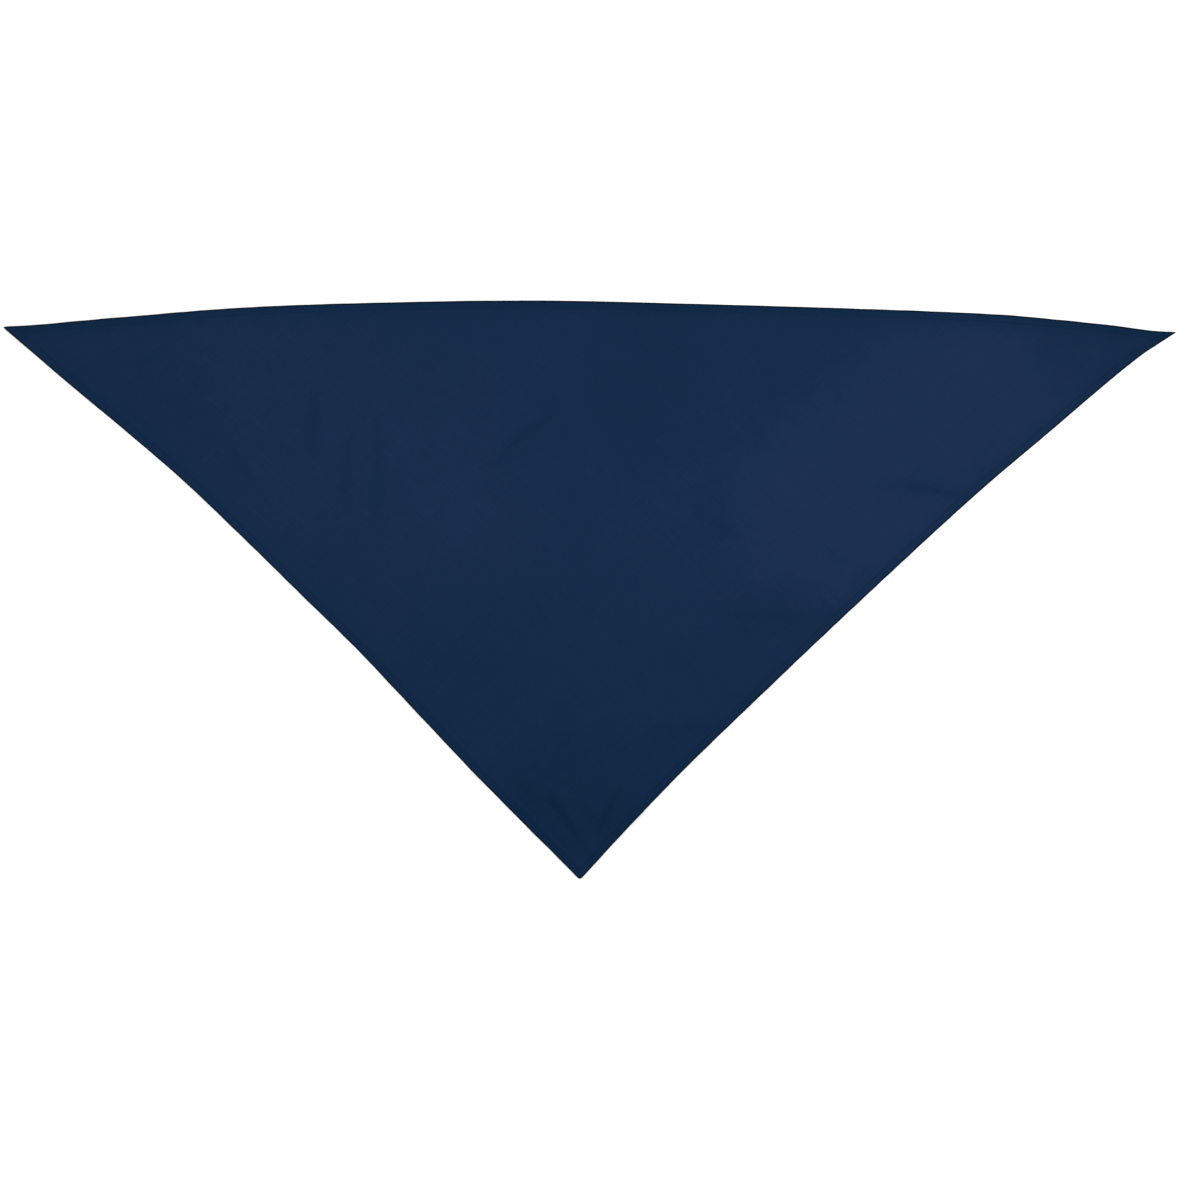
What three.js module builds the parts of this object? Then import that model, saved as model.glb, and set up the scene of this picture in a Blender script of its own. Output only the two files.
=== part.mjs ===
import * as THREE from "three";

// A plain triangular bandana, laid flat and face up. It is half a square of thin woven cotton, so
// the long edge runs across the weave and the two legs along it. All three edges are turned under
// and stitched. Millimetres, +Z up, resting on z = 0, with the origin at the middle of the
// outline's box. +X runs along the long edge and +Y from the bottom corner towards that edge.

// Driving dimensions of the outline, each straight from corner to corner
const LONG_EDGE = 1003.5;
const LEFT_LEG = 684;
const RIGHT_LEG = 692;
const LONG_EDGE_TILT = THREE.MathUtils.degToRad(-0.28);

// Driving dimensions of the cloth and its hems
const CLOTH = 1;
const SEAM_GAP = 0.3;
const HEM_WIDTH = 8;
const SHOULDER_INSET = HEM_WIDTH + SEAM_GAP; // the panel is level over a hem, out to here
const FIELD_INSET = SHOULDER_INSET + 8; // and down on the surface again from here
const PUCKER_END = 0.03; // fraction of a side over which the puckers die out at a corner
const PUCKER_UNEVENNESS = 0.35; // share by which a pucker may be higher or lower than usual
const PUCKER_SHUFFLE = 2.4; // radians that spread the heights so that no two in a row are alike
const CORNER_ROUNDS = 6; // enough to place an inset corner to well under a micrometre

// Fineness of the faceted surfaces
const CELLS = 40; // along each side of the panel's inner field
const HEM_STEPS = 3 * CELLS; // along each hem

const NAVY = 0x192d4a;

// The corners, anticlockwise. The cloth folded up in a corner blunts it along its bisector.
const CORNERS = [
  { name: "left tip", blunt: 2.4 },
  { name: "bottom corner", blunt: 1.5 },
  { name: "right tip", blunt: 0.8 },
];

// The sides, anticlockwise, each from the corner of the same row to the next. Bow is how far the
// side stands out from its chord (negative where it is drawn in) at a fraction of that chord.
// Puckers are the low waves that the stitching draws the hem into, with their usual height, how
// far they wander from even spacing, in waves, and where along the side they are lowest.
const SIDES = [
  {
    name: "hem_left_leg",
    puckers: { count: 24, height: 0.9, wander: 0.7, low: 0.2 },
    bow: [
      { along: 0.03, out: -1.4 },
      { along: 0.1, out: -4.0 },
      { along: 0.2, out: -8.7 },
      { along: 0.3, out: -12.3 },
      { along: 0.4, out: -12.4 },
      { along: 0.5, out: -11.6 },
      { along: 0.6, out: -10.9 },
      { along: 0.7, out: -7.5 },
      { along: 0.8, out: -4.0 },
      { along: 0.9, out: -1.9 },
      { along: 0.97, out: -0.9 },
    ],
  },
  {
    name: "hem_right_leg",
    puckers: { count: 30, height: 1.1, wander: 0.5, low: 0.85 },
    bow: [
      { along: 0.03, out: -2.0 },
      { along: 0.1, out: -6.0 },
      { along: 0.2, out: -9.9 },
      { along: 0.3, out: -11.6 },
      { along: 0.4, out: -13.0 },
      { along: 0.5, out: -13.8 },
      { along: 0.6, out: -14.2 },
      { along: 0.7, out: -13.6 },
      { along: 0.8, out: -10.7 },
      { along: 0.9, out: -8.2 },
      { along: 0.95, out: -5.7 },
      { along: 0.98, out: -2.4 },
    ],
  },
  {
    name: "hem_long_edge",
    puckers: { count: 26, height: 0.8, wander: 1.3, low: 0.5 },
    bow: [
      { along: 0.02, out: 0.9 },
      { along: 0.05, out: 4.7 },
      { along: 0.1, out: 9.9 },
      { along: 0.15, out: 14.1 },
      { along: 0.25, out: 17.9 },
      { along: 0.4, out: 21.8 },
      { along: 0.55, out: 24.2 },
      { along: 0.7, out: 21.1 },
      { along: 0.8, out: 16.6 },
      { along: 0.9, out: 8.1 },
      { along: 0.93, out: 5.3 },
      { along: 0.96, out: 2.3 },
      { along: 0.98, out: 0.6 },
    ],
  },
];

// The largest folds: low soft swells where the cloth stands off the surface. Each is centred on
// x, y, has a lens-shaped footprint of this length and width turned by angle, in degrees from +X,
// and rises to height.
const FOLDS = [
  { x: 262, y: 128, length: 250, width: 118, angle: 52, height: 3.6 },
  { x: 168, y: 20, length: 210, width: 78, angle: 8, height: 2.6 },
  { x: 118, y: 150, length: 190, width: 84, angle: 74, height: 2.2 },
  { x: -205, y: 118, length: 220, width: 96, angle: 96, height: 3.0 },
  { x: -76, y: 132, length: 180, width: 76, angle: 50, height: 2.4 },
  { x: -318, y: 150, length: 170, width: 70, angle: 118, height: 2.2 },
  { x: -138, y: -18, length: 190, width: 82, angle: 132, height: 2.6 },
  { x: 372, y: 178, length: 130, width: 56, angle: 24, height: 1.8 },
  { x: 62, y: -112, length: 150, width: 66, angle: 12, height: 2.2 },
  { x: -14, y: -186, length: 84, width: 44, angle: 62, height: 1.6 },
];

// Height of the surface that the folds make, zero outside them
function lift(x, y) {
  let height = 0;
  for (const fold of FOLDS) {
    const turn = THREE.MathUtils.degToRad(fold.angle);
    const dx = x - fold.x;
    const dy = y - fold.y;
    const along = (dx * Math.cos(turn) + dy * Math.sin(turn)) / (fold.length / 2);
    const across = (dy * Math.cos(turn) - dx * Math.sin(turn)) / (fold.width / 2);
    const inside = 1 - along * along - across * across;
    if (inside > 0) height += fold.height * inside * inside;
  }
  return height;
}

// A smooth curve through the rows of a bow table, with nothing at or past either end of the chord
function bowAt(rows, along) {
  if (along <= 0 || along >= 1) return 0;
  const knots = [{ along: 0, out: 0 }, ...rows, { along: 1, out: 0 }];
  const slopeAt = (i) => {
    const before = knots[Math.max(i - 1, 0)];
    const after = knots[Math.min(i + 1, knots.length - 1)];
    return (after.out - before.out) / (after.along - before.along);
  };
  let i = 0;
  while (i < knots.length - 2 && along > knots[i + 1].along) i += 1;
  const span = knots[i + 1].along - knots[i].along;
  const f = (along - knots[i].along) / span;
  const rise = f * f * (3 - 2 * f);
  const leave = f * (1 - f) * (1 - f) * span * slopeAt(i);
  const arrive = -f * f * (1 - f) * span * slopeAt(i + 1);
  return knots[i].out * (1 - rise) + knots[i + 1].out * rise + leave + arrive;
}

// Height of the puckers at a fraction of a side
function puckerAt({ count, height, wander, low }, along) {
  const waves = along * count + wander * Math.sin(3 * Math.PI * (along + low));
  const strength = 1 - 0.55 * Math.cos(Math.PI * (along - low)) ** 4;
  const uneven = 1 + PUCKER_UNEVENNESS * Math.sin(PUCKER_SHUFFLE * Math.floor(waves));
  const fade = Math.min(1, along / PUCKER_END, (1 - along) / PUCKER_END);
  return height * strength * uneven * fade * 0.5 * (1 - Math.cos(2 * Math.PI * waves));
}

// Places the three corners from the side lengths, and joins each to its bisector and its sides
function placeCorners() {
  const leftAngle = Math.acos(
    (LONG_EDGE ** 2 + LEFT_LEG ** 2 - RIGHT_LEG ** 2) / (2 * LONG_EDGE * LEFT_LEG),
  );
  const legDirection = LONG_EDGE_TILT - leftAngle;
  const [left, bottom, right] = CORNERS;
  left.at = new THREE.Vector2(0, 0);
  bottom.at = new THREE.Vector2(Math.cos(legDirection), Math.sin(legDirection));
  bottom.at.multiplyScalar(LEFT_LEG);
  right.at = new THREE.Vector2(Math.cos(LONG_EDGE_TILT), Math.sin(LONG_EDGE_TILT));
  right.at.multiplyScalar(LONG_EDGE);

  CORNERS.forEach((corner, i) => {
    const toNext = CORNERS[(i + 1) % 3].at.clone().sub(corner.at).normalize();
    const toLast = CORNERS[(i + 2) % 3].at.clone().sub(corner.at).normalize();
    corner.bisector = toNext.clone().add(toLast).normalize();
    corner.sineOfHalf = Math.sin(Math.acos(toNext.dot(toLast)) / 2);
    corner.sides = [SIDES[(i + 2) % 3], SIDES[i]];
  });

  SIDES.forEach((side, i) => {
    side.start = CORNERS[i];
    side.end = CORNERS[(i + 1) % 3];
    side.chord = side.end.at.clone().sub(side.start.at);
    side.direction = side.chord.clone().normalize();
    side.outward = new THREE.Vector2(side.direction.y, -side.direction.x);
  });
}

// Fraction of a side's chord that a point lies beside
function beside(side, point) {
  return point.clone().sub(side.start.at).dot(side.chord) / side.chord.lengthSq();
}

// How far a point lies inside a side
function depthInside(side, point) {
  const outOfChord = point.clone().sub(side.start.at).dot(side.outward);
  return bowAt(side.bow, beside(side, point)) - outOfChord;
}

// The corner moved in until it lies inset from both its sides. Each round moves the point by what
// it still lacks on each side, as if both were straight there.
function cornerAt(corner, inset) {
  const point = corner.at.clone().addScaledVector(corner.bisector, inset / corner.sineOfHalf);
  const [last, next] = corner.sides;
  const turn = last.outward.cross(next.outward);
  for (let round = 0; round < CORNER_ROUNDS; round += 1) {
    const lackLast = inset - depthInside(last, point);
    const lackNext = inset - depthInside(next, point);
    point.x += (next.outward.y * -lackLast + last.outward.y * lackNext) / turn;
    point.y += (next.outward.x * lackLast - last.outward.x * lackNext) / turn;
  }
  return point;
}

// A point at a fraction of a side, moved in from the outline by inset. The outline's ends are blunt.
function sideAt(side, along, inset) {
  const first = beside(side, cornerAt(side.start, inset));
  const last = beside(side, cornerAt(side.end, inset));
  const fraction = THREE.MathUtils.lerp(first, last, along);
  const point = side.start.at.clone().addScaledVector(side.chord, fraction);
  point.addScaledVector(side.outward, bowAt(side.bow, fraction) - inset);
  const corner = along === 0 ? side.start : side.end;
  const isBlunt = inset === 0 && (along === 0 || along === 1);
  if (isBlunt) point.addScaledVector(corner.bisector, corner.blunt);
  return point;
}

// Centres the outline's box on the origin
function centreOutline() {
  const box = new THREE.Box2();
  for (const side of SIDES) {
    for (let i = 0; i < HEM_STEPS; i += 1) box.expandByPoint(sideAt(side, i / HEM_STEPS, 0));
  }
  const middle = box.getCenter(new THREE.Vector2());
  for (const corner of CORNERS) corner.at.sub(middle);
}

// Underside of a hem above the surface, at a point that lies at a fraction of its side
function hemFloor(side, along, point) {
  return lift(point.x, point.y) + puckerAt(side.puckers, along);
}

// Triangles between two anticlockwise loops, the outer one with a whole multiple of the points
function stripBetween(outer, inner) {
  const ratio = outer.length / inner.length;
  const half = Math.ceil(ratio / 2);
  const triangles = [];
  inner.forEach((near, i) => {
    const far = inner[(i + 1) % inner.length];
    const outerAt = (step) => outer[(i * ratio + step) % outer.length];
    for (let step = 0; step < ratio; step += 1) {
      triangles.push([outerAt(step), outerAt(step + 1), step < half ? near : far]);
      if (step === half - 1) triangles.push([outerAt(half), far, near]);
    }
  });
  return triangles;
}

// A closed wall of cloth: the sheet is its underside, and its top lies one thickness higher. The
// sheet holds points, triangles that face up, and its rim as an anticlockwise loop.
function wallOn({ points, triangles, rim }) {
  const position = [];
  for (const rise of [0, CLOTH]) {
    for (const point of points) position.push(point.x, point.y, point.z + rise);
  }
  const top = points.length;
  const index = [];
  for (const [a, b, c] of triangles) index.push(a, c, b, a + top, b + top, c + top);
  rim.forEach((from, i) => {
    const to = rim[(i + 1) % rim.length];
    index.push(from, to, to + top, from, to + top, from + top);
  });
  const geometry = new THREE.BufferGeometry();
  geometry.setAttribute("position", new THREE.Float32BufferAttribute(position, 3));
  geometry.setIndex(index);
  geometry.computeVertexNormals();
  return geometry;
}

// One loop of the panel's underside at one inset, a seam's gap above the hems
function loopOverHems(points, inset) {
  const loop = [];
  for (const side of SIDES) {
    for (let i = 0; i < HEM_STEPS; i += 1) {
      const point = sideAt(side, i / HEM_STEPS, inset);
      const height = hemFloor(side, i / HEM_STEPS, point) + CLOTH + SEAM_GAP;
      loop.push(points.length);
      points.push(new THREE.Vector3(point.x, point.y, height));
    }
  }
  return loop;
}

// A point of the inner field, from its weights at the three corners. What each side stands off
// its chord reaches in, and fades towards the corner opposite.
function fieldAt(weights, corners) {
  const point = new THREE.Vector2();
  corners.forEach((corner, i) => point.addScaledVector(corner, weights[i]));
  SIDES.forEach((side, i) => {
    const shared = 1 - weights[(i + 2) % 3];
    if (shared === 0) return;
    const along = weights[(i + 1) % 3] / shared;
    const onChord = corners[i].clone().lerp(corners[(i + 1) % 3], along);
    const bow = sideAt(side, along, FIELD_INSET).sub(onChord);
    point.addScaledVector(bow, shared * shared);
  });
  return new THREE.Vector3(point.x, point.y, lift(point.x, point.y));
}

// The whole triangle of cloth, resting on the surface and rising over the three hems
function clothPanel() {
  const points = [];
  const rim = loopOverHems(points, 0);
  const shoulder = loopOverHems(points, SHOULDER_INSET);
  const triangles = stripBetween(rim, shoulder);

  const corners = CORNERS.map((corner) => cornerAt(corner, FIELD_INSET));
  const field = new Map();
  const fieldIndex = (b, c) => field.get(`${b},${c}`);
  for (let b = 0; b <= CELLS; b += 1) {
    for (let c = 0; b + c <= CELLS; c += 1) {
      const weights = [(CELLS - b - c) / CELLS, b / CELLS, c / CELLS];
      field.set(`${b},${c}`, points.length);
      points.push(fieldAt(weights, corners));
    }
  }
  for (let b = 0; b < CELLS; b += 1) {
    for (let c = 0; b + c < CELLS; c += 1) {
      triangles.push([fieldIndex(b, c), fieldIndex(b + 1, c), fieldIndex(b, c + 1)]);
      if (b + c + 1 < CELLS) {
        triangles.push([fieldIndex(b + 1, c), fieldIndex(b + 1, c + 1), fieldIndex(b, c + 1)]);
      }
    }
  }

  const fieldRim = [];
  for (let i = 0; i < CELLS; i += 1) fieldRim.push(fieldIndex(i, 0));
  for (let i = 0; i < CELLS; i += 1) fieldRim.push(fieldIndex(CELLS - i, i));
  for (let i = 0; i < CELLS; i += 1) fieldRim.push(fieldIndex(0, CELLS - i));
  triangles.push(...stripBetween(shoulder, fieldRim));
  return wallOn({ points, triangles, rim });
}

// One hem: the border of the cloth turned under, mitred at both corners
function hem(side) {
  const halfGap = SEAM_GAP / 2;
  const points = [];
  for (let i = 0; i <= HEM_STEPS; i += 1) {
    for (const inset of [0, HEM_WIDTH]) {
      const point = sideAt(side, i / HEM_STEPS, inset);
      if (i === 0) point.addScaledVector(side.direction, halfGap / side.start.sineOfHalf);
      if (i === HEM_STEPS) point.addScaledVector(side.direction, -halfGap / side.end.sineOfHalf);
      points.push(new THREE.Vector3(point.x, point.y, hemFloor(side, i / HEM_STEPS, point)));
    }
  }
  const triangles = [];
  for (let i = 0; i < HEM_STEPS; i += 1) {
    const [outer, inner, nextOuter, nextInner] = [2 * i, 2 * i + 1, 2 * i + 2, 2 * i + 3];
    triangles.push([outer, nextOuter, inner], [nextOuter, nextInner, inner]);
  }
  const rim = [];
  for (let i = 0; i <= HEM_STEPS; i += 1) rim.push(2 * i);
  for (let i = HEM_STEPS; i >= 0; i -= 1) rim.push(2 * i + 1);
  return wallOn({ points, triangles, rim });
}

function clothMesh(name, geometry) {
  const material = new THREE.MeshStandardMaterial({ color: NAVY, roughness: 0.9, metalness: 0 });
  const mesh = new THREE.Mesh(geometry, material);
  mesh.name = name;
  return mesh;
}

placeCorners();
centreOutline();

const bandana = new THREE.Group();
bandana.add(clothMesh("cloth_panel", clothPanel()));
for (const side of SIDES) bandana.add(clothMesh(side.name, hem(side)));

export default bandana;
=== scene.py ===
"""A plain navy triangular bandana, laid flat and face up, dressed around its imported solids.

The cloth, its three turned hems and their stitching are modelled at real size. Lengths in the
tables and names below are millimetres in the solids' own frame, and MM turns them into metres.
"""
import math
from collections import namedtuple

import bpy
import numpy as np
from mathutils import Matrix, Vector


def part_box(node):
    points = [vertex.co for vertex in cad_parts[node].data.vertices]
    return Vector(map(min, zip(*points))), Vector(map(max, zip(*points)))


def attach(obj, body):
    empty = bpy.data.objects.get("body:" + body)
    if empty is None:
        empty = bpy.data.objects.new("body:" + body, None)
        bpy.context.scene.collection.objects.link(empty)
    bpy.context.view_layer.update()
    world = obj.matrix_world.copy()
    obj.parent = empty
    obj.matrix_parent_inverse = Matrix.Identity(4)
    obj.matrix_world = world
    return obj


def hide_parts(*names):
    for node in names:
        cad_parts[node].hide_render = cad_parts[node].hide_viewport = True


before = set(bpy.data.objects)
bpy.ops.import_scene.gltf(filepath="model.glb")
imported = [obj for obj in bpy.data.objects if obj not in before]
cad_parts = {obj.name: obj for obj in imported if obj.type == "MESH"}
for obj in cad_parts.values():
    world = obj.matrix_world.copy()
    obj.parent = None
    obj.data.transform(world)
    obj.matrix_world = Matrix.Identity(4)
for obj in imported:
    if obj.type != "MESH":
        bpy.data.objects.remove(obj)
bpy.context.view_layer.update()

MM = 0.001

# The outline, as the solids have it: each length is straight from corner to corner
LONG_EDGE = 1003.5
LEFT_LEG = 684.0
RIGHT_LEG = 692.0
LONG_EDGE_TILT = math.radians(-0.28)
CORNER_BLUNT = (2.4, 1.5, 0.8)  # left tip, bottom corner, right tip

# How far a side stands out from its chord (negative where it is drawn in), at a fraction of it
BOW_LEFT_LEG = {
    "along": (0.03, 0.1, 0.2, 0.3, 0.4, 0.5, 0.6, 0.7, 0.8, 0.9, 0.97),
    "out": (-1.4, -4.0, -8.7, -12.3, -12.4, -11.6, -10.9, -7.5, -4.0, -1.9, -0.9),
}
BOW_RIGHT_LEG = {
    "along": (0.03, 0.1, 0.2, 0.3, 0.4, 0.5, 0.6, 0.7, 0.8, 0.9, 0.95, 0.98),
    "out": (-2.0, -6.0, -9.9, -11.6, -13.0, -13.8, -14.2, -13.6, -10.7, -8.2, -5.7, -2.4),
}
BOW_LONG_EDGE = {
    "along": (0.02, 0.05, 0.1, 0.15, 0.25, 0.4, 0.55, 0.7, 0.8, 0.9, 0.93, 0.96, 0.98),
    "out": (0.9, 4.7, 9.9, 14.1, 17.9, 21.8, 24.2, 21.1, 16.6, 8.1, 5.3, 2.3, 0.6),
}

# The low waves that the stitching draws a hem into: how many, their usual height, how far they
# wander from even spacing, in waves, where along the side they are lowest, and how much they
# lean, in waves for each hem's width
Puckers = namedtuple("Puckers", "count height wander low lean")
PUCKERS_LEFT_LEG = Puckers(count=24, height=0.9, wander=0.7, low=0.2, lean=0.14)
PUCKERS_RIGHT_LEG = Puckers(count=30, height=1.1, wander=0.5, low=0.85, lean=-0.12)
PUCKERS_LONG_EDGE = Puckers(count=26, height=0.8, wander=1.3, low=0.5, lean=0.2)
PUCKER_WANDERS = 1.5  # how often along a side they wander to and fro
PUCKER_UNEVENNESS = 0.35  # share by which a pucker may be higher or lower than usual
PUCKER_SHUFFLE = 2.4  # radians that spread the heights so that no two in a row are alike
PUCKER_LULL = 0.55  # share of their height that is lost where they are lowest
PUCKER_LULL_POWER = 4  # the higher, the shorter the stretch that is low
PUCKER_END = 0.03  # fraction of a side over which the puckers die out at a corner
PUCKER_REACH = (7.0, 30.0)  # from full height to nothing, in from the outline

# The layers of a hem
CLOTH = 0.42  # one layer of the cloth
HEM_WIDTH = 8.0
HEM_STACK = 0.66  # the two layers turned under
LAYER_GAP = 0.03  # between the turned layers and the panel
HEM_SHOULDER = 3.4  # over which the panel comes down beside the hem
EDGE_ROLL = 0.6  # radius of the fold along the outline
STITCH_LINE = 6.4  # in from the outline
STITCH_PULL = 0.13  # share of the hem's height that the thread pulls down
STITCH_LIFT = 0.14  # how far it draws the hem's underside up
STITCH_TROUGH = 1.1  # half the width of the groove that it makes
TUCKED_EDGE = 0.12  # how far the fold on the hem's inner edge stands past its width

# The stitches
STITCH_PITCH = 3.1
STITCH_LENGTH = 2.55
THREAD_RADIUS = 0.17
STITCH_BURIED = 0.32  # how far a stitch's ends go down into the cloth
STITCH_BEND = 9  # the higher, the more sudden
STITCH_MARGIN = 1.1  # the stitching stops this far inside the outline at a corner
STITCH_LEAN = 0.05  # usual slant of a stitch, sideways at its end
STITCH_SEED = 31

# The largest folds, as the solids have them: low soft swells with a lens-shaped footprint,
# centred on x, y and turned by angle, in degrees from +X
Fold = namedtuple("Fold", "x y length width angle height")
FOLDS = (
    Fold(x=262, y=128, length=250, width=118, angle=52, height=3.6),
    Fold(x=168, y=20, length=210, width=78, angle=8, height=2.6),
    Fold(x=118, y=150, length=190, width=84, angle=74, height=2.2),
    Fold(x=-205, y=118, length=220, width=96, angle=96, height=3.0),
    Fold(x=-76, y=132, length=180, width=76, angle=50, height=2.4),
    Fold(x=-318, y=150, length=170, width=70, angle=118, height=2.2),
    Fold(x=-138, y=-18, length=190, width=82, angle=132, height=2.6),
    Fold(x=372, y=178, length=130, width=56, angle=24, height=1.8),
    Fold(x=62, y=-112, length=150, width=66, angle=12, height=2.2),
    Fold(x=-14, y=-186, length=84, width=44, angle=62, height=1.6),
)

# Patches of painted light and shade, each with the same kind of footprint, and how far it moves the
# colour's tone: a painted pool of light where it is positive, painted shade where it is negative
LIGHT_PATCH_PLATEAU = 0.8  # share of the footprint's fall after which the tone is even
Fade = namedtuple("Fade", "x y length width angle tone")
PAINTED_LIGHT_PATCHES = (
    Fade(x=300, y=112, length=440, width=270, angle=26, tone=0.17),
    Fade(x=92, y=38, length=230, width=170, angle=20, tone=0.05),
    Fade(x=-205, y=138, length=420, width=240, angle=160, tone=0.06),
    Fade(x=44, y=188, length=210, width=130, angle=88, tone=-0.08),
    Fade(x=450, y=204, length=210, width=110, angle=12, tone=-0.05),
    Fade(x=-14, y=-112, length=470, width=300, angle=8, tone=-0.07),
    Fade(x=-8, y=-214, length=230, width=200, angle=90, tone=-0.08),
)
LONG_EDGE_TONE = -0.13  # at the outline of the long edge, which is darker than the legs
LONG_EDGE_REACH = 14.0

# The creases: narrow soft ridges from one end to the other, bent sideways in the middle by sag.
# A line of painted shade runs along the foot of each, on the left of its direction; tone is how far
# it darkens the colour
CREASE_FOOT = 0.35  # widths from a crease's top to its line of painted shade
CREASE_FALL = 8  # the higher, the narrower the ridge within its width
FOOT_FALL = 12  # the same for the line of painted shade
Crease = namedtuple("Crease", "x0 y0 x1 y1 width height sag tone")
CREASES = (
    Crease(x0=84, y0=-22, x1=226, y1=-31, width=20, height=1.5, sag=-3.0, tone=-0.16),
    Crease(x0=146, y0=-34, x1=214, y1=-40, width=14, height=0.8, sag=2.0, tone=-0.07),
    Crease(x0=236, y0=85, x1=330, y1=72, width=16, height=1.1, sag=2.5, tone=-0.13),
    Crease(x0=190, y0=33, x1=246, y1=10, width=14, height=0.9, sag=-2.0, tone=-0.08),
    Crease(x0=42, y0=-119, x1=108, y1=-123, width=14, height=0.9, sag=-1.5, tone=-0.11),
    Crease(x0=84, y0=64, x1=128, y1=38, width=14, height=0.9, sag=1.5, tone=-0.13),
    Crease(x0=150, y0=66, x1=184, y1=60, width=12, height=0.6, sag=1.5, tone=-0.07),
    Crease(x0=-233, y0=108, x1=-231, y1=172, width=14, height=1.1, sag=-2.0, tone=-0.11),
    Crease(x0=-204, y0=70, x1=-200, y1=130, width=13, height=0.9, sag=2.0, tone=-0.08),
    Crease(x0=-179, y0=44, x1=-176, y1=150, width=16, height=1.3, sag=-2.5, tone=-0.10),
    Crease(x0=-30, y0=158, x1=-88, y1=106, width=14, height=1.1, sag=-2.5, tone=-0.12),
    Crease(x0=-282, y0=90, x1=-302, y1=124, width=12, height=0.7, sag=1.0, tone=-0.07),
    Crease(x0=-392, y0=188, x1=-352, y1=196, width=14, height=0.6, sag=1.5, tone=-0.05),
    Crease(x0=-344, y0=150, x1=-318, y1=136, width=12, height=0.6, sag=-1.0, tone=-0.06),
    Crease(x0=-4, y0=-214, x1=-36, y1=-170, width=13, height=0.8, sag=-2.0, tone=-0.15),
    Crease(x0=9, y0=-214, x1=34, y1=-166, width=12, height=0.7, sag=2.0, tone=-0.15),
    Crease(x0=-70, y0=-162, x1=-46, y1=-186, width=12, height=0.4, sag=1.0, tone=-0.10),
)

# The low ripples of cloth that was folded and has been laid out
RIPPLE_SEED = 11
RIPPLE_COUNT = 26
RIPPLE_WAVELENGTHS = (26.0, 120.0)
RIPPLE_STEEPNESS = 0.004  # height of a ripple for each unit of its wavelength
RIPPLE_PATCHES = 1.7  # radians for each wavelength, over which a ripple comes and goes
RIPPLE_CONTACT = 0.2  # height over which a ripple settles onto the surface below

# The weave: sizes in millimetres or in yarns, and how far each pattern moves the tone, which runs
# from 0 to 1. Noise has a scale for each metre, or for each yarn along X and Y, a detail and a
# roughness
TONE_MIDDLE = 0.5
NOISE_MIDDLE = 0.5
YARN_PITCH = 0.38
YARN_SWAY = 0.35  # yarns
YARN_SWAY_SCALE = 0.11  # sways for each yarn
YARN_ROUNDNESS = 0.6
CRIMP = 0.42  # share of the weave's height by which a yarn rises and dips
WEAVE_MIDDLE = 0.7
WEAVE_RELIEF = 0.07
# How far the weave's height lightens the yarns' tops and darkens the hollows between them: the
# weave's pattern, with painted shade in its hollows
WEAVE_HOLLOW_SHADE = 1.0
YARN_TONE = 1.1
SLUB_WARP = (0.9, 0.012, 0)
SLUB_WEFT = (0.012, 0.9, 0)
SLUB_DETAIL = 4
CLOUD = (7.0, 3, 0.55)
CLOUD_TONE = 0.25
MOTTLE = (160.0, 3, 0.6)
MOTTLE_TONE = 0.12
MOTTLE_RELIEF = 0.04

# The cloth's finish. Colours are linear R, G, B
COTTON_COLOURS = (
    (0, (0.0012, 0.0110, 0.0316)),
    (0.2, (0.0016, 0.0134, 0.0382)),
    (1, (0.0110, 0.0235, 0.0650)),
)
COTTON_ROUGHNESS = 0.5
ROUGHNESS_DIP = -0.06
COTTON_SPECULAR = 0.012
COTTON_SHEEN = 0.015
SHEEN_ROUGHNESS = 0.5
SHEEN_TINT = (0.35, 0.45, 0.65)
# Painted shade: how dark the cloth is painted at a distance inside the outline, standing for the
# pale floor's light that shows through one layer but not through the hem's three, and reaching well
# past the hem
RIM_REACH = 24.0
RIM_SHADES = ((0, 0.70), (3, 0.79), (6.5, 0.84), (9, 0.90), (14, 0.95), (24, 1.0))
# The share of its colour that the outermost edge keeps, where it turns down into its own shadow
EDGE_SHADES = ((0, 0.1), (0.8, 0.2), (1.3, 1.0))

# The thread's finish
PLY_PITCH = 0.42
PLY_RELIEF = 0.05
THREAD_FUZZ_SCALE = 900.0  # for each metre
THREAD_FUZZ_TONE = 0.5
THREAD_FUZZ_ROUGHNESS = 0.2
THREAD_COLOURS = ((0, (0.0008, 0.0060, 0.0210)), (1, (0.0036, 0.0145, 0.0440)))
THREAD_ROUGHNESS = 0.45
THREAD_SPECULAR = 0.03

# The studio. The camera's numbers are in pixels and millimetres, its clipping range, the floor's
# size and the lamps are in metres, and the lamps' power is in watts
PHOTO_SIDE = 1180
PHOTO_PIXEL = 0.8538  # width of a pixel on the cloth
FOCAL_LENGTH = 85.0
SENSOR = 36.0
CAMERA_SHIFT = (0.1, -0.3)
CAMERA_RANGE = (0.1, 50)
FLOOR_SIZE = 40.0
FLOOR_DROP = 0.06  # millimetres
FLOOR_COLOUR = (0.95, 0.95, 0.95)
FLOOR_ROUGHNESS = 0.9
FLOOR_SPECULAR = 0.1
ROOM_LIGHT = 0.88
Lamp = namedtuple("Lamp", "name x y z aim_x aim_y size power")
LAMPS = (
    Lamp("softbox_right", x=0.40, y=0.15, z=0.85, aim_x=0.32, aim_y=0.11, size=0.3, power=3.3),
    Lamp("softbox_left", x=-0.31, y=0.17, z=0.85, aim_x=-0.26, aim_y=0.12, size=0.3, power=2.4),
)

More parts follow.
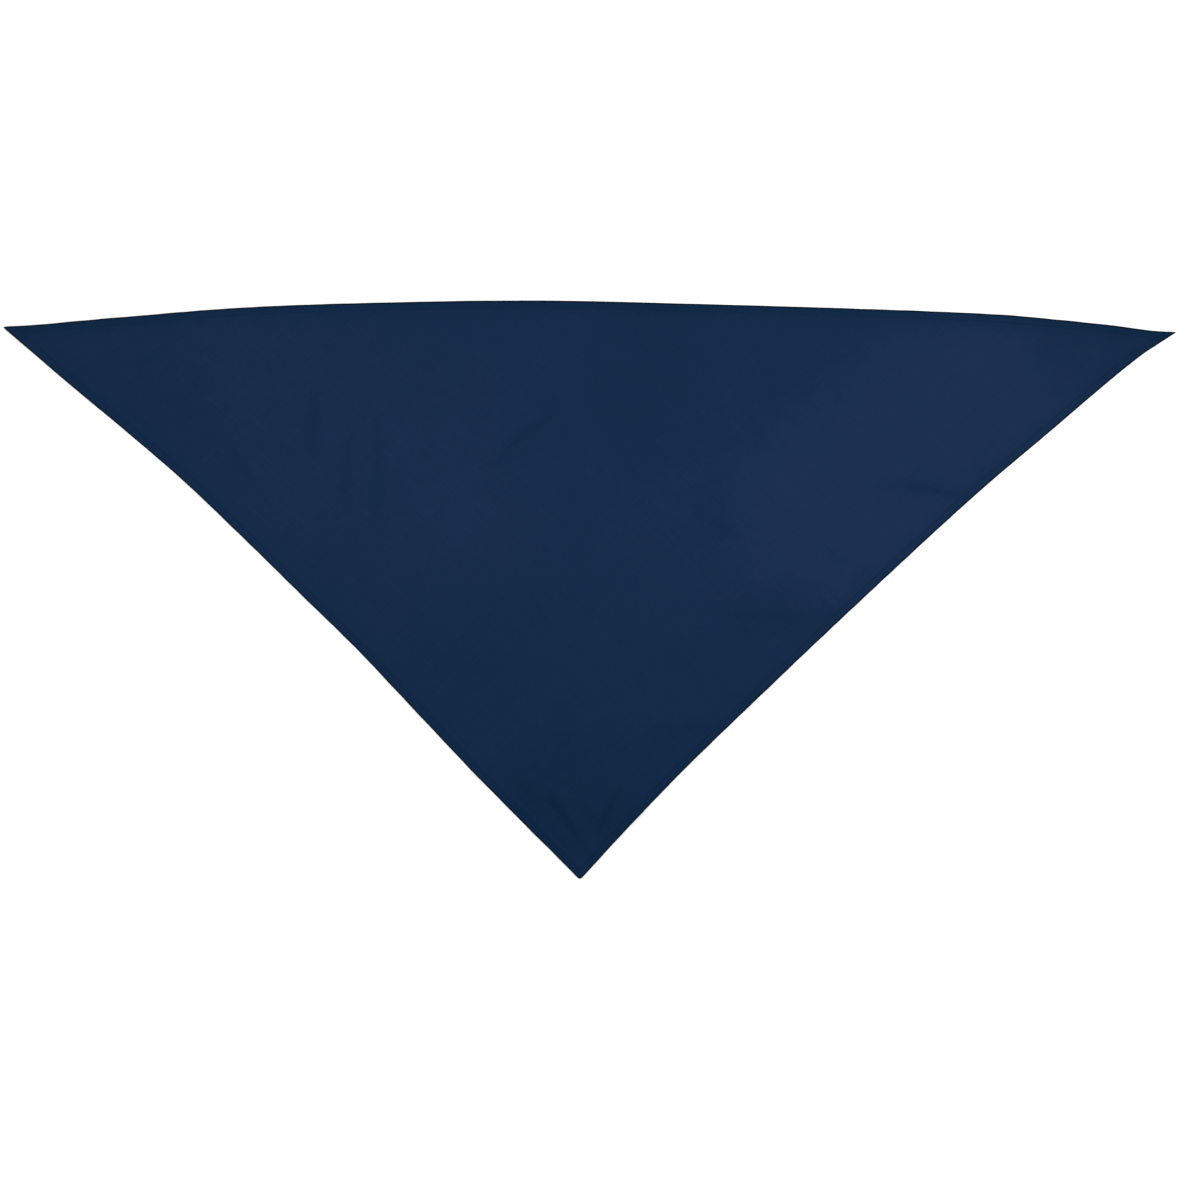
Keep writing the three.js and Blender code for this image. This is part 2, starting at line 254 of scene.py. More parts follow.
# Fineness of the meshes. The insets are the rows that run along the outline, close together at
# its rolled edge, at the stitches and where the panel comes down beside the hem
CELLS = 240  # along each side of the panel's inner field, and along each hem
EDGE_INSETS = (0.08, 0.25, 0.6, 1.2)
STITCH_INSETS = (4.2, 5.3, 5.9, 6.4, 6.9, 7.6)
RING_INSETS = (0, *EDGE_INSETS, 2.6, *STITCH_INSETS, 8.1, 8.7, 9.3, 10.0, 11.4, 13.6)
FIELD_INSET = 16.3  # where the panel's inner field starts
HEM_TOP_INSETS = (0, *EDGE_INSETS, 2.6, *STITCH_INSETS, 7.9)
HEM_UNDER_INSETS = (7.9, *reversed(STITCH_INSETS), *reversed(EDGE_INSETS))
CORNER_ROUNDS = 6  # steps in which a corner is found
CORNER_ZONE = 0.02  # share of a side over which its points draw together towards a corner
STITCH_STEPS = (-1, -0.93, -0.82, -0.5, 0, 0.5, 0.82, 0.93, 1)  # half lengths from its middle
STITCH_GIRTHS = (0.4, 0.8, 0.95, 1, 1, 1, 0.95, 0.8, 0.4)  # share of the thread's radius there
THREAD_SIDES = 6
TINY = 1e-9  # keeps a division from failing at a corner


def smooth(low, high, value):
    """0 up to low and 1 from high, with an even start and end."""
    share = np.clip((value - low) / (high - low), 0, 1)
    return share * share * (3 - 2 * share)


class Side:
    """One side of the outline, anticlockwise from its start to its end corner."""

    def __init__(self, name, start, end, bow, puckers):
        self.name = name
        self.start = start
        self.chord = end - start
        self.length = float(np.hypot(*self.chord))
        self.outward = np.array((self.chord[1], -self.chord[0])) / self.length
        self.knots = np.array((0, *bow["along"], 1))
        self.outs = np.array((0, *bow["out"], 0))
        before = np.maximum(np.arange(len(self.knots)) - 1, 0)
        after = np.minimum(np.arange(len(self.knots)) + 1, len(self.knots) - 1)
        rises, runs = self.outs[after] - self.outs[before], self.knots[after] - self.knots[before]
        self.slopes = rises / runs
        self.puckers = puckers

    def bow(self, along):
        """How far the side stands out from its chord, by the same smooth curve as the solids'."""
        along = np.asarray(along, float)
        i = np.clip(np.searchsorted(self.knots, along, side="left") - 1, 0, len(self.knots) - 2)
        span = self.knots[i + 1] - self.knots[i]
        f = (along - self.knots[i]) / span
        rise = f * f * (3 - 2 * f)
        leave = f * (1 - f) ** 2 * span * self.slopes[i]
        arrive = -f * f * (1 - f) * span * self.slopes[i + 1]
        out = self.outs[i] * (1 - rise) + self.outs[i + 1] * rise + leave + arrive
        return np.where((along <= 0) | (along >= 1), 0, out)

    def beside(self, points):
        """Fraction of the chord that each point lies beside."""
        return (points - self.start) @ self.chord / self.length**2

    def depth(self, points):
        """How far each point lies inside the side."""
        return self.bow(self.beside(points)) - (points - self.start) @ self.outward

    def at(self, fraction, inset):
        """The points at these fractions of the chord, moved in from the outline by inset."""
        fraction = np.atleast_1d(np.asarray(fraction, float))[:, None]
        out = self.bow(fraction) - inset
        return self.start + self.chord * fraction + self.outward * out


def place_sides():
    """The corners and sides from the side lengths, set where the panel's own box begins."""
    left_angle = math.acos(
        (LONG_EDGE**2 + LEFT_LEG**2 - RIGHT_LEG**2) / (2 * LONG_EDGE * LEFT_LEG)
    )
    leg = LONG_EDGE_TILT - left_angle
    corners = np.array((
        (0.0, 0.0),
        (LEFT_LEG * math.cos(leg), LEFT_LEG * math.sin(leg)),
        (LONG_EDGE * math.cos(LONG_EDGE_TILT), LONG_EDGE * math.sin(LONG_EDGE_TILT)),
    ))
    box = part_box("cloth_panel")
    blunted = corners + bisectors(corners) * np.array(CORNER_BLUNT)[:, None]
    corners[:, 0] += box[0].x / MM - blunted[0, 0]
    corners[:, 1] += box[0].y / MM - blunted[1, 1]
    rows = (
        ("left_leg", BOW_LEFT_LEG, PUCKERS_LEFT_LEG),
        ("right_leg", BOW_RIGHT_LEG, PUCKERS_RIGHT_LEG),
        ("long_edge", BOW_LONG_EDGE, PUCKERS_LONG_EDGE),
    )
    return corners, [
        Side(name, corners[i], corners[(i + 1) % 3], bow, puckers)
        for i, (name, bow, puckers) in enumerate(rows)
    ]


def bisectors(corners):
    """Unit vectors into the cloth from its corners."""
    to_next = np.roll(corners, -1, axis=0) - corners
    to_last = np.roll(corners, 1, axis=0) - corners
    to_next /= np.linalg.norm(to_next, axis=1)[:, None]
    to_last /= np.linalg.norm(to_last, axis=1)[:, None]
    middle = to_next + to_last
    return middle / np.linalg.norm(middle, axis=1)[:, None]


CORNERS, SIDES = place_sides()


def corner_at(i, inset):
    """Corner i moved in until it lies inset from both its sides, as the solids have it."""
    last, following = SIDES[i - 1], SIDES[i]
    point = CORNERS[i] + bisectors(CORNERS)[i] * inset
    normals = np.array((last.outward, following.outward))
    for _ in range(CORNER_ROUNDS):
        lack = inset - np.array((last.depth(point), following.depth(point)))
        point = point - np.linalg.solve(normals, lack)
    return point


def round_corner(i, inset, row):
    """A row's points drawn back from corner i, so that it is round and as blunt as the solids'."""
    into = bisectors(CORNERS)[i]
    sharp = corner_at(i, inset)
    blunt = max(CORNER_BLUNT[i] + inset - (sharp - CORNERS[i]) @ into, 0)
    beyond = np.maximum((row - sharp) @ into, 0)
    return row + into * (np.hypot(beyond, blunt) - beyond)[:, None]


def side_points(i, along, inset):
    """Points at fractions of side i between its two corners, moved in by inset."""
    side = SIDES[i]
    first = side.beside(corner_at(i, inset))
    last = side.beside(corner_at((i + 1) % 3, inset))
    return side.at(first + (last - first) * np.asarray(along), inset)


def border_row(i, inset):
    """Points of side i's border from corner to corner, both round, moved in by inset."""
    even = np.arange(CELLS + 1) / CELLS
    nearer = np.minimum(even, 1 - even)
    drawn = np.where(nearer < CORNER_ZONE, nearer**2 / CORNER_ZONE, nearer)
    row = side_points(i, np.where(even < 0.5, drawn, 1 - drawn), inset)
    return round_corner((i + 1) % 3, inset, round_corner(i, inset, row))


def field_points(weights):
    """Points of the inner field from their weights at the three corners."""
    corners = np.array([corner_at(i, FIELD_INSET) for i in range(3)])
    points = weights @ corners
    for i in range(3):
        shared = 1 - weights[:, (i + 2) % 3]
        along = weights[:, (i + 1) % 3] / np.maximum(shared, TINY)
        on_chord = corners[i] + (corners[(i + 1) % 3] - corners[i]) * along[:, None]
        stands_off = side_points(i, along, FIELD_INSET) - on_chord
        points += stands_off * (shared**2)[:, None]
    return points


def footprint(points, row):
    """1 at the middle of a lens-shaped fold or patch of painted light and shade, falling to 0 at
    its rim.
    """
    turn = math.radians(row.angle)
    dx, dy = points[:, 0] - row.x, points[:, 1] - row.y
    along = (dx * math.cos(turn) + dy * math.sin(turn)) / (row.length / 2)
    across = (dy * math.cos(turn) - dx * math.sin(turn)) / (row.width / 2)
    return np.maximum(1 - along**2 - across**2, 0)


def folds(points):
    """Height of the largest folds."""
    return sum(fold.height * footprint(points, fold) ** 2 for fold in FOLDS)


def paint_light_and_tone(points):
    """How far the patches of painted light and shade, the long edge and the creases' painted shade
    move the colour's tone.
    """
    long_edge = SIDES[2].depth(points[:, :2])
    tone = crease_painted_shade(points) + LONG_EDGE_TONE * (1 - smooth(0, LONG_EDGE_REACH, long_edge))
    for painted_light_and_tone in PAINTED_LIGHT_PATCHES:
        tone += painted_light_and_tone.tone * smooth(0, LIGHT_PATCH_PLATEAU, footprint(points, painted_light_and_tone))
    return tone


def beside_crease(crease, points):
    """How strong a crease is beside each point, and how many widths to its left the point is."""
    start = np.array((crease.x0, crease.y0))
    run = np.array((crease.x1, crease.y1)) - start
    length = np.hypot(*run)
    along = (points[:, :2] - start) @ run / length**2
    across = (points[:, :2] - start) @ np.array((-run[1], run[0])) / length
    arch = np.clip(4 * along * (1 - along), 0, 1)
    return arch, (across - crease.sag * arch) / crease.width


def creases(points):
    """Height of the narrow creases, fading out towards both ends."""
    height = np.zeros(len(points))
    for crease in CREASES:
        arch, side = beside_crease(crease, points)
        height += crease.height * arch * np.exp(-CREASE_FALL * side**2)
    return height


def crease_painted_shade(points):
    """How far the creases' painted shade darkens the cloth along their foot."""
    tone = np.zeros(len(points))
    for crease in CREASES:
        arch, side = beside_crease(crease, points)
        tone += crease.tone * np.sqrt(arch) * np.exp(-FOOT_FALL * (side - CREASE_FOOT) ** 2)
    return tone


def ripples(points):
    """The unevenness of a cloth that was folded and has been laid out, never below zero."""
    random = np.random.default_rng(RIPPLE_SEED)
    height = np.zeros(len(points))
    for _ in range(RIPPLE_COUNT):
        wavelength = random.uniform(*RIPPLE_WAVELENGTHS)
        angle, phase = random.uniform(0, 2 * math.pi, 2)
        patch_angle, patch_phase = random.uniform(0, 2 * math.pi, 2)
        across = points @ np.array((math.cos(angle), math.sin(angle)))
        patch = points @ np.array((math.cos(patch_angle), math.sin(patch_angle)))
        strength = 0.5 + 0.5 * np.sin(patch / wavelength * RIPPLE_PATCHES + patch_phase)
        wave = np.sin(2 * math.pi * across / wavelength + phase)
        height += RIPPLE_STEEPNESS * wavelength * strength * wave
    return (height + np.sqrt(height**2 + RIPPLE_CONTACT**2)) / 2


def puckers(points):
    """Height of the waves along the hems, fading inwards."""
    height = np.zeros(len(points))
    for side in SIDES:
        count, usual, wander, low, lean = side.puckers
        along, depth = side.beside(points), side.depth(points)
        waves = along * count + wander * np.sin(PUCKER_WANDERS * 2 * math.pi * (along + low))
        waves = waves + lean * depth / HEM_WIDTH
        strength = 1 - PUCKER_LULL * np.cos(math.pi * (along - low)) ** PUCKER_LULL_POWER
        strength = strength * (1 + PUCKER_UNEVENNESS * np.sin(PUCKER_SHUFFLE * np.floor(waves)))
        ends = np.clip(np.minimum(along, 1 - along) / PUCKER_END, 0, 1)
        inwards = 1 - smooth(*PUCKER_REACH, depth)
        height += usual * strength * ends * inwards * 0.5 * (1 - np.cos(2 * math.pi * waves))
    return height


def lay(points):
    """Height at which the cloth's lowest layer lies."""
    return folds(points) + creases(points) + ripples(points) + puckers(points)


class Layers:
    """Heights of the cloth's layers over a set of points, all above the way that it lies."""

    def __init__(self, points, inset=None):
        depths = np.array([side.depth(points) for side in SIDES])
        self.depth = np.maximum(depths.min(axis=0), 0) if inset is None else inset
        over_hem = 1 - smooth(HEM_WIDTH, HEM_WIDTH + HEM_SHOULDER, depths)
        _, second, nearest = np.sort(over_hem, axis=0)
        self.stack = HEM_STACK * (nearest + second)
        self.floor = lay(points)
        grooves = np.exp(-(((depths - STITCH_LINE) / STITCH_TROUGH) ** 2))
        self.groove = grooves.max(axis=0) * np.minimum(self.stack / HEM_STACK, 1)
        self.squeeze = 1 - STITCH_PULL * self.groove
        self.roll = np.sqrt(1 - (1 - np.minimum(self.depth / EDGE_ROLL, 1)) ** 2)
        self.middle = (self.stack + CLOTH) / 2

    def at(self, height):
        """A layer's height, squeezed by the stitching and rolled over at the outline."""
        rolled = self.middle + (height - self.middle) * self.roll
        return self.floor + rolled * self.squeeze

    def panel_top(self):
        return self.at(self.stack + LAYER_GAP + CLOTH)

    def panel_underside(self):
        return self.at(self.stack + LAYER_GAP * np.minimum(self.stack / HEM_STACK, 1))

    def hem_top(self):
        return self.at(self.stack - LAYER_GAP)

    def hem_underside(self):
        return self.at(np.zeros_like(self.stack)) + STITCH_LIFT * self.groove


def add_mesh(name, points, faces, material, attributes=None):
    """A new smooth object from points in millimetres."""
    mesh = bpy.data.meshes.new(name)
    mesh.from_pydata((np.asarray(points) * MM).tolist(), [], faces)
    mesh.validate()
    mesh.shade_smooth()
    for key, values in (attributes or {}).items():
        mesh.attributes.new(key, "FLOAT", "POINT").data.foreach_set("value", values)
    mesh.materials.append(material)
    piece = bpy.data.objects.new(name, mesh)
    bpy.context.scene.collection.objects.link(piece)
    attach(piece, "root")
    return piece


def panel_grid():
    """The cloth from above: its points, their depths, its triangles and the outline's points."""
    rings, depths, loops, count = [], [], [], 0
    for inset in RING_INSETS:
        ring = np.concatenate([border_row(i, inset)[:-1] for i in range(3)])
        rings.append(ring)
        depths.append(np.full(len(ring), inset))
        loops.append(np.arange(len(ring)) + count)
        count += len(ring)

    b, c = np.array([(b, c) for b in range(CELLS + 1) for c in range(CELLS + 1 - b)]).T
    field = np.full((CELLS + 2, CELLS + 2), -1)
    field[b, c] = np.arange(len(b)) + count
    weights = np.stack((CELLS - b - c, b, c), axis=1) / CELLS
    inner_points = field_points(weights)
    points = np.concatenate((*rings, inner_points))
    depths.append(np.min([side.depth(inner_points) for side in SIDES], axis=0))

    up = (b + c) < CELLS
    ub, uc = b[up], c[up]
    triangles = [np.stack((field[ub, uc], field[ub + 1, uc], field[ub, uc + 1]), axis=1)]
    down = (ub + uc + 1) < CELLS
    db, dc = ub[down], uc[down]
    downward = (field[db + 1, dc], field[db + 1, dc + 1], field[db, dc + 1])
    triangles.append(np.stack(downward, axis=1))

    step = np.arange(CELLS)
    border = (field[step, 0], field[CELLS - step, step], field[0, CELLS - step])
    loops.append(np.concatenate(border))
    for outer, inner in zip(loops, loops[1:]):
        outer_next, inner_next = np.roll(outer, -1), np.roll(inner, -1)
        triangles.append(np.stack((outer, outer_next, inner), axis=1))
        triangles.append(np.stack((outer_next, inner_next, inner), axis=1))
    return points, np.concatenate(depths), np.concatenate(triangles), loops[0]


def add_cloth_panel(material):
    """The triangle of cloth as a thin closed shell. Its two faces meet along the outline."""
    points, depths, triangles, outline = panel_grid()
    layers = Layers(points, depths)
    top = np.column_stack((points, layers.panel_top()))
    inner = np.arange(len(outline), len(points))
    underside = np.column_stack((points[inner], layers.panel_underside()[inner]))
    lower_index = np.arange(len(points))
    lower_index[inner] += len(points) - len(outline)
    faces = np.concatenate((triangles, lower_index[triangles[:, ::-1]]))
    vertices = np.concatenate((top, underside))
    # The second attribute carries the patches of painted light and shade, the creases' painted
    # shade and the darker long edge
    tones = {"depth": np.concatenate((depths, depths[inner])), "painted_light_and_tone": paint_light_and_tone(vertices)}
    panel = add_mesh("bandana_cloth", vertices, faces.tolist(), material, tones)
    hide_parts("cloth_panel")
    return panel


def add_hem(i, material):
    """The border of the cloth turned under along side i: two layers with a folded inner edge."""
    tucked = HEM_WIDTH + TUCKED_EDGE
    rows = []
    for inset in HEM_TOP_INSETS:
        points = border_row(i, inset)
        rows.append(np.column_stack((points, Layers(points, inset).hem_top())))
    points = border_row(i, tucked)
    rows.append(np.column_stack((points, lay(points) + HEM_STACK / 2)))
    for inset in HEM_UNDER_INSETS:
        points = border_row(i, inset)
        rows.append(np.column_stack((points, Layers(points, inset).hem_underside())))

    around = len(rows)
    vertices = np.stack(rows, axis=1).reshape(-1, 3)
    faces = []
    for section in range(CELLS):
        for k in range(around):
            a, b = section * around + k, section * around + (k + 1) % around
            faces.append((a, a + around, b + around, b))
    first = tuple(range(around))
    last = tuple(CELLS * around + k for k in reversed(range(around)))
    faces += [first, last]
    inside = (*HEM_TOP_INSETS, tucked, *HEM_UNDER_INSETS)
    # The second attribute carries the patches of painted light and shade, the creases' painted
    # shade and the darker long edge
    tones = {"depth": np.tile(inside, CELLS + 1), "painted_light_and_tone": paint_light_and_tone(vertices)}
    side = SIDES[i]
    hem = add_mesh(f"hem_fold_{side.name}", vertices, faces, material, tones)
    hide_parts(f"hem_{side.name}")
    return hem


def stitch_centres(side):
    """Fractions of the chord at which one hem's stitches lie, from edge to edge of the cloth."""
    count = int(side.length / STITCH_PITCH)
    fractions = (np.arange(count) + 0.5) / count
    line = side.at(fractions, STITCH_LINE)
    others = np.min([other.depth(line) for other in SIDES if other is not side], axis=0)
    return fractions[others > STITCH_MARGIN + STITCH_LENGTH / 2]


def add_stitching(i, material):
    """Both faces of one hem's line of lockstitches, each a short bent thread."""
    side = SIDES[i]
    centres = stitch_centres(side)
    turns = np.arange(THREAD_SIDES) * 2 * math.pi / THREAD_SIDES
    twist = np.concatenate([
        step * STITCH_LENGTH / 2 + THREAD_RADIUS * girth * np.cos(turns)
        for step, girth in zip(STITCH_STEPS, STITCH_GIRTHS)
    ])
    reach = STITCH_LENGTH / 2 / side.length
    jitter = np.random.default_rng(STITCH_SEED + i)
    vertices, faces = [], []
    for sign in (1, -1):  # the top stitches, and those of the underside between them
        shift = 0 if sign > 0 else STITCH_PITCH / 2 / side.length
        fractions = centres[:-1] + shift
        lean = jitter.normal(0, STITCH_LEAN, len(fractions))
        sections = []
        for step, girth in zip(STITCH_STEPS, STITCH_GIRTHS):
            spot = side.at(fractions + step * reach, STITCH_LINE)
            spot = spot + side.outward * (lean * step)[:, None]
            layers = Layers(spot)
            height = layers.panel_top() if sign > 0 else layers.floor + THREAD_RADIUS
            height = height - sign * STITCH_BURIED * abs(step) ** STITCH_BEND
            for turn in turns:
                radius = THREAD_RADIUS * girth
                ring = spot + side.outward * (radius * math.cos(turn))
                sections.append(np.column_stack((ring, height + radius * math.sin(turn))))
        for stitch in np.stack(sections, axis=1):
            base = len(vertices)
            end = base + (len(STITCH_STEPS) - 1) * THREAD_SIDES
            vertices.extend(stitch.tolist())
            for row in range(base, end, THREAD_SIDES):
                for k in range(THREAD_SIDES):
                    a, b = row + k, row + (k + 1) % THREAD_SIDES
                    faces.append((a, a + THREAD_SIDES, b + THREAD_SIDES, b))
            faces.append(tuple(base + k for k in range(THREAD_SIDES)))
            faces.append(tuple(end + k for k in reversed(range(THREAD_SIDES))))
    twists = np.tile(twist, len(vertices) // len(twist))
    return add_mesh(f"stitching_{side.name}", vertices, faces, material, {"twist": twists})


class Finish:
    """One material's node tree, with short calls for the nodes that it is built from."""

    def __init__(self, name):
        self.material = bpy.data.materials.new(name)
        self.material.use_nodes = True
        self.tree = self.material.node_tree
        self.shader = next(n for n in self.tree.nodes if n.type == "BSDF_PRINCIPLED")

    def add(self, kind, **settings):
        node = self.tree.nodes.new(kind)
        for key, value in settings.items():
            setattr(node, key, value)
        return node

    def feed(self, socket, value):
        """Link a socket to another node's output, or set its own value."""
        if isinstance(value, bpy.types.NodeSocket):
            self.tree.links.new(value, socket)
        else:
            socket.default_value = value

    def math(self, operation, *values):
        node = self.add("ShaderNodeMath", operation=operation)
        for socket, value in zip(node.inputs, values):
            self.feed(socket, value)
        return node.outputs[0]

    def vector(self, operation, *values):
        node = self.add("ShaderNodeVectorMath", operation=operation)
        for socket, value in zip(node.inputs, values):
            self.feed(socket, value)
        return node.outputs["Value" if operation == "DOT_PRODUCT" else "Vector"]

    def blend(self, share, low, high):
        """low where share is 0 and high where it is 1."""
        node = self.add("ShaderNodeMix", data_type="FLOAT")
        for name, value in (("Factor", share), ("A", low), ("B", high)):
            self.feed(next(s for s in node.inputs if s.name == name and s.type == "VALUE"), value)
        return node.outputs[0]

    def noise(self, place, scale, detail=2.0, roughness=0.5):
        """Soft noise about 0.5."""
        node = self.add("ShaderNodeTexNoise")
        self.feed(node.inputs["Vector"], place)
        node.inputs["Scale"].default_value = scale
        node.inputs["Detail"].default_value = detail
        node.inputs["Roughness"].default_value = roughness
        return node.outputs[0]

    def ramp(self, share, stops):
        """Colours or greys between stops of a position and an R, G, B."""
        node = self.add("ShaderNodeValToRGB")
        elements = node.color_ramp.elements
        while len(elements) < len(stops):
            elements.new(0.5)
        for element, (position, colour) in zip(elements, stops):
            element.position = position
            element.color = (*colour, 1)
        self.feed(node.inputs[0], share)
        return node.outputs["Color"]

    def bump(self, height, depth, below=None):
        """Relief of the given depth in millimetres, on top of the relief below it."""
        node = self.add("ShaderNodeBump")
        node.inputs["Strength"].default_value = 1
        node.inputs["Distance"].default_value = depth * MM
        self.feed(node.inputs["Height"], height)
        if below is not None:
            self.feed(node.inputs["Normal"], below)
        return node.outputs["Normal"]

    def set(self, **values):
        """Values of the shader's own sockets, with _ for the spaces in their names."""
        for name, value in values.items():
            self.feed(self.shader.inputs[name.replace("_", " ")], value)


def yarn_place(finish):
    """Coordinates that count the yarns across the right leg and across the left leg."""
    place = finish.add("ShaderNodeTexCoord").outputs["Object"]
    left, right = -SIDES[0].chord / SIDES[0].length, SIDES[1].chord / SIDES[1].length
    across = np.linalg.inv(np.column_stack((right, left))) / (YARN_PITCH * MM)
    weft, warp = (finish.vector("DOT_PRODUCT", place, (*row, 0)) for row in across)
    joined = finish.add("ShaderNodeCombineXYZ")
    finish.feed(joined.inputs["X"], weft)
    finish.feed(joined.inputs["Y"], warp)
    return place, joined.outputs[0]


def yarn_arch(finish, count):
    """A half wave from 0 to 1 over each yarn."""
    return finish.math("ABSOLUTE", finish.math("SINE", finish.math("MULTIPLY", count, math.pi)))


def yarn_top(finish, across, along, phase):
    """Height of the yarns counted by across: round in section, and over every second cross yarn."""
    row = finish.math("FLOOR", across)
    step = finish.math("ADD", finish.math("ADD", along, row), phase)
    rise = finish.math("COSINE", finish.math("MULTIPLY", step, math.pi))
    section = finish.math("POWER", yarn_arch(finish, across), YARN_ROUNDNESS)
    return finish.math("MULTIPLY_ADD", rise, CRIMP, finish.math("MULTIPLY", section, 1 - CRIMP))


def plain_weave(finish, yarns):
    """Height of the weave, from 0 to 1, and 1 where a warp yarn is on top."""
    sway = finish.add("ShaderNodeTexNoise")
    finish.feed(sway.inputs["Vector"], yarns)
    sway.inputs["Scale"].default_value = YARN_SWAY_SCALE
    centred = finish.vector("SUBTRACT", sway.outputs["Color"], (NOISE_MIDDLE,) * 3)
    offset = finish.vector("MULTIPLY", centred, (YARN_SWAY, YARN_SWAY, 0))
    split = finish.add("ShaderNodeSeparateXYZ")
    finish.feed(split.inputs[0], finish.vector("ADD", yarns, offset))
    x, y = split.outputs["X"], split.outputs["Y"]
    warp = yarn_top(finish, x, y, -0.5)
    weft = yarn_top(finish, y, x, 0.5)
    return finish.math("MAXIMUM", warp, weft), finish.math("GREATER_THAN", warp, weft)


def navy_cotton():
    """Plain-woven navy cotton: yarns along both legs, uneven from yarn to yarn, a soft sheen."""
    finish = Finish("navy_cotton_weave")
    place, yarns = yarn_place(finish)
    weave, warp_on_top = plain_weave(finish, yarns)
    warp_tone = finish.noise(finish.vector("MULTIPLY", yarns, SLUB_WARP), 1, SLUB_DETAIL)
    weft_tone = finish.noise(finish.vector("MULTIPLY", yarns, SLUB_WEFT), 1, SLUB_DETAIL)
    yarn_tone = finish.blend(warp_on_top, weft_tone, warp_tone)
    cloud = finish.noise(place, *CLOUD)
    mottle = finish.noise(place, *MOTTLE)

    # Painted light and shade, read from the mesh: the patches, the creases' painted shade and the
    # darker long edge
    painted_light_and_tone = finish.add("ShaderNodeAttribute", attribute_name="painted_light_and_tone").outputs["Fac"]
    tone = finish.math("ADD", painted_light_and_tone, TONE_MIDDLE)
    # The weave's row paints shade into the hollows between yarns; the slubs, cloud and mottle are
    # random tone
    for source, middle, weight in (
        (weave, WEAVE_MIDDLE, WEAVE_HOLLOW_SHADE),
        (yarn_tone, NOISE_MIDDLE, YARN_TONE),
        (cloud, NOISE_MIDDLE, CLOUD_TONE),
        (mottle, NOISE_MIDDLE, MOTTLE_TONE),
    ):
        tone = finish.math("MULTIPLY_ADD", finish.math("SUBTRACT", source, middle), weight, tone)
    # rim is painted shade that darkens the cloth towards its outline, and edge is the painted
    # shadow of the outermost edge
    depth = finish.add("ShaderNodeAttribute", attribute_name="depth").outputs["Fac"]
    reach = finish.math("DIVIDE", depth, RIM_REACH)
    rim, edge = (
        finish.ramp(reach, [(at / RIM_REACH, (shade,) * 3) for at, shade in shades])
        for shades in (RIM_SHADES, EDGE_SHADES)
    )
    colour = finish.ramp(finish.math("MULTIPLY", tone, rim), COTTON_COLOURS)
    finish.set(
        Base_Color=finish.vector("MULTIPLY", colour, edge),
        Roughness=finish.math("MULTIPLY_ADD", weave, ROUGHNESS_DIP, COTTON_ROUGHNESS),
        Specular_IOR_Level=COTTON_SPECULAR,
        Sheen_Weight=COTTON_SHEEN,
        Sheen_Roughness=SHEEN_ROUGHNESS,
        Sheen_Tint=(*SHEEN_TINT, 1),
        Normal=finish.bump(weave, WEAVE_RELIEF, finish.bump(mottle, MOTTLE_RELIEF)),
    )
    return finish.material


def thread():
    """The hems' sewing thread: darker and a little glossier than the cloth, with twisted plies."""
    finish = Finish("navy_thread")
    twist = finish.add("ShaderNodeAttribute", attribute_name="twist").outputs["Fac"]
    plies = yarn_arch(finish, finish.math("DIVIDE", twist, PLY_PITCH))
    place = finish.add("ShaderNodeTexCoord").outputs["Object"]
    fuzz = finish.noise(place, THREAD_FUZZ_SCALE)
    centred = finish.math("SUBTRACT", fuzz, NOISE_MIDDLE)
    # The plies' arch lightens the colour on their crowns and darkens it between them: painted shade
    # in the grooves, with random fuzz on top
    tone = finish.math("MULTIPLY_ADD", centred, THREAD_FUZZ_TONE, plies)
    finish.set(
        Base_Color=finish.ramp(tone, THREAD_COLOURS),
        Roughness=finish.math("MULTIPLY_ADD", fuzz, THREAD_FUZZ_ROUGHNESS, THREAD_ROUGHNESS),
        Specular_IOR_Level=THREAD_SPECULAR,
        Normal=finish.bump(plies, PLY_RELIEF),
    )
    return finish.material


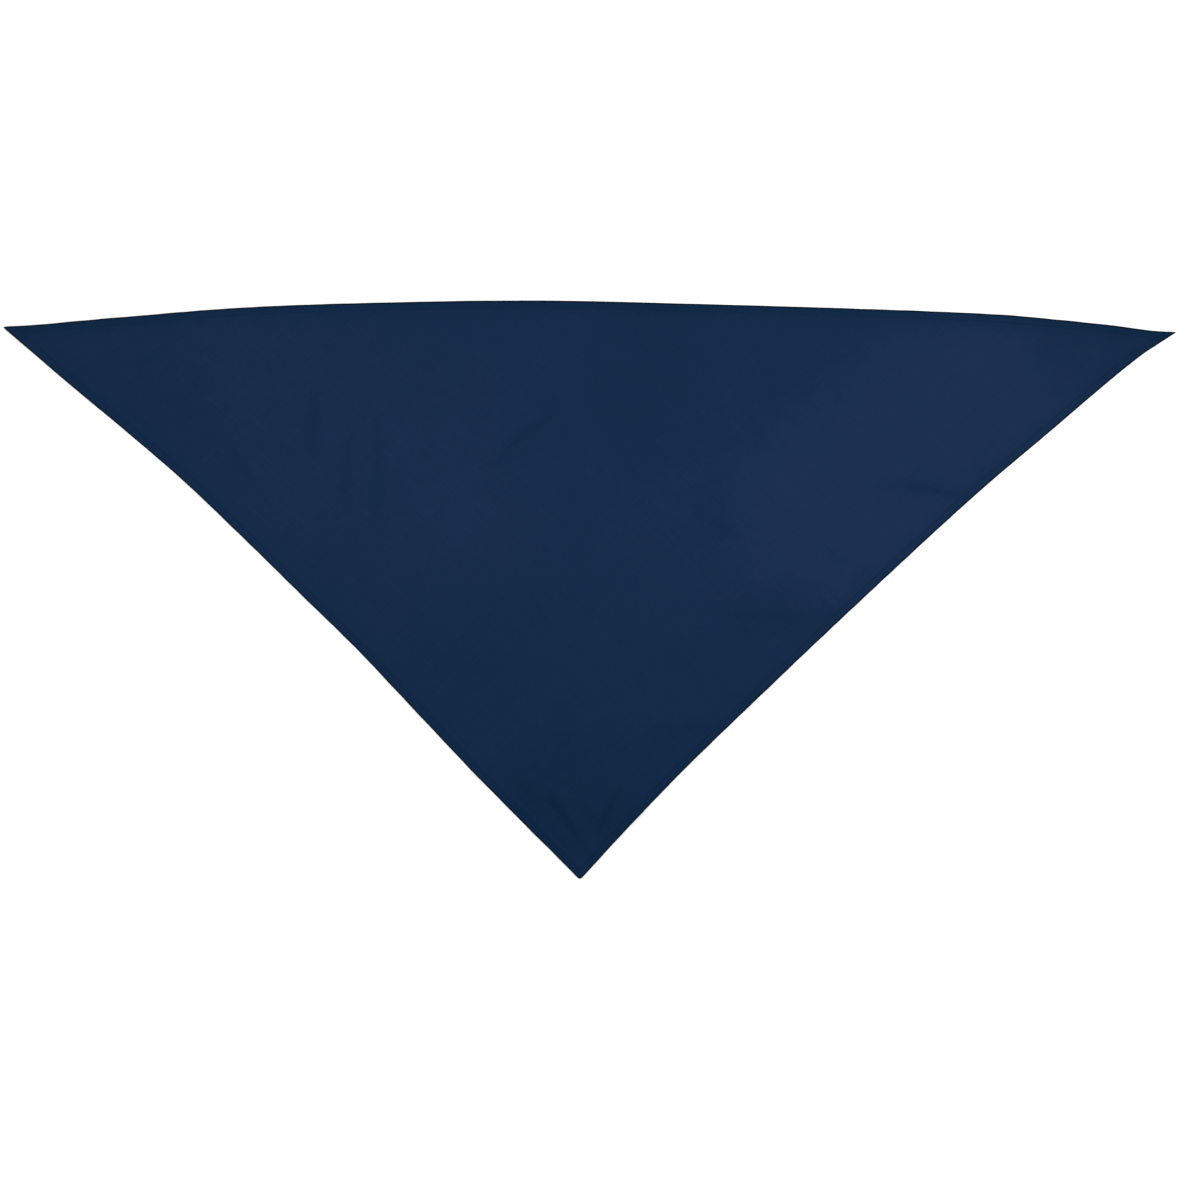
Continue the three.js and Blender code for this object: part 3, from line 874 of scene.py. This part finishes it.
def add_camera():
    """Straight above the cloth, with the photograph's frame."""
    camera = bpy.data.cameras.new("camera")
    camera.lens = FOCAL_LENGTH
    camera.sensor_width = SENSOR
    camera.clip_start, camera.clip_end = CAMERA_RANGE
    view = bpy.data.objects.new("camera", camera)
    height = PHOTO_SIDE * PHOTO_PIXEL * MM * FOCAL_LENGTH / SENSOR
    view.location = (CAMERA_SHIFT[0] * MM, CAMERA_SHIFT[1] * MM, height)
    bpy.context.scene.collection.objects.link(view)
    bpy.context.scene.camera = view


def add_floor():
    """A plain pale floor, just under the cloth."""
    mesh = bpy.data.meshes.new("floor")
    half, low = FLOOR_SIZE / 2, -FLOOR_DROP * MM
    corners = [(-half, -half, low), (half, -half, low), (half, half, low), (-half, half, low)]
    mesh.from_pydata(corners, [], [(0, 1, 2, 3)])
    finish = Finish("pale_floor")
    finish.set(
        Base_Color=(*FLOOR_COLOUR, 1), Roughness=FLOOR_ROUGHNESS, Specular_IOR_Level=FLOOR_SPECULAR
    )
    mesh.materials.append(finish.material)
    floor = bpy.data.objects.new("floor", mesh)
    bpy.context.scene.collection.objects.link(floor)


def add_lights():
    """Soft studio light: an even white room and a softbox over each half of the cloth."""
    world = bpy.data.worlds.new("studio")
    world.use_nodes = True
    background = world.node_tree.nodes["Background"]
    background.inputs["Color"].default_value = (1, 1, 1, 1)
    background.inputs["Strength"].default_value = ROOM_LIGHT
    bpy.context.scene.world = world
    for lamp in LAMPS:
        light = bpy.data.lights.new(lamp.name, "AREA")
        light.shape = "DISK"
        light.size = lamp.size
        light.energy = lamp.power
        holder = bpy.data.objects.new(lamp.name, light)
        holder.location = (lamp.x, lamp.y, lamp.z)
        aim = Vector((lamp.aim_x, lamp.aim_y, 0)) - holder.location
        holder.rotation_euler = aim.to_track_quat("-Z", "Y").to_euler()
        bpy.context.scene.collection.objects.link(holder)
    bpy.context.scene.view_settings.view_transform = "Standard"


add_camera()
add_floor()
add_lights()

cotton = navy_cotton()
sewing_thread = thread()
panel = add_cloth_panel(cotton)
hems = [add_hem(i, cotton) for i in range(3)]
stitching = [add_stitching(i, sewing_thread) for i in range(3)]
